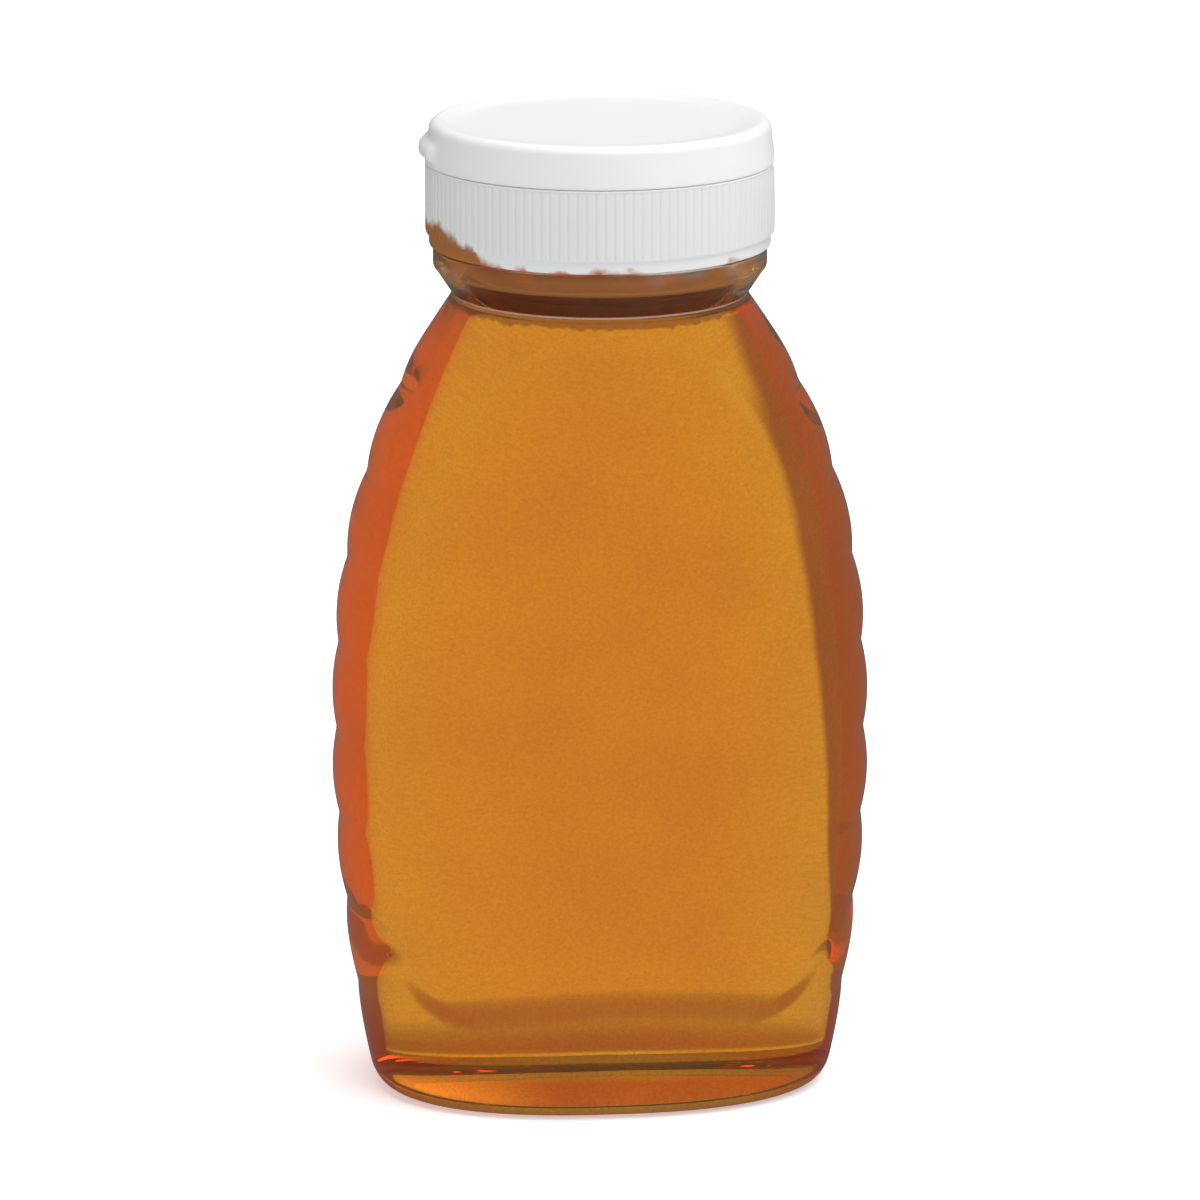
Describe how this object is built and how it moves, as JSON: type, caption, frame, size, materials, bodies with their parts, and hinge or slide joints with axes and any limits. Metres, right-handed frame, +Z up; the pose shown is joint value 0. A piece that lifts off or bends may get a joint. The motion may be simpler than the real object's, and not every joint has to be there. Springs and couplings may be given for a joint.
{
  "type": "honey squeeze bottle",
  "caption": "Clear flattened-oval squeeze bottle of amber honey with ribbed sides, smooth front and back panels, a raised base and a white flip-top screw cap.",
  "frame": {"origin": "centre of the base, on the plane that the bottle stands on", "axes": "+Z up along the neck, X along the wide side with the lid's hinge at +X and its thumb tab at -X, -Y towards the front panel"},
  "size_m": [0.0636, 0.0412, 0.1165],
  "materials": {
    "clear_plastic": "clear, glossy blown plastic",
    "honey": "clear amber honey",
    "white_plastic": "white moulded plastic, semi-gloss"
  },
  "bodies": {
    "bottle": {"bottle": "clear_plastic", "honey": "honey", "cap": "white_plastic"},
    "lid": {"lid": "white_plastic"}
  },
  "joints": [
    {"name": "lid_hinge", "type": "hinge", "parent": "bottle", "child": "lid", "pos_m": [0.01975, 0, 0.1116], "axis": [0, 1, 0], "range_deg": [0, 110]}
  ]
}
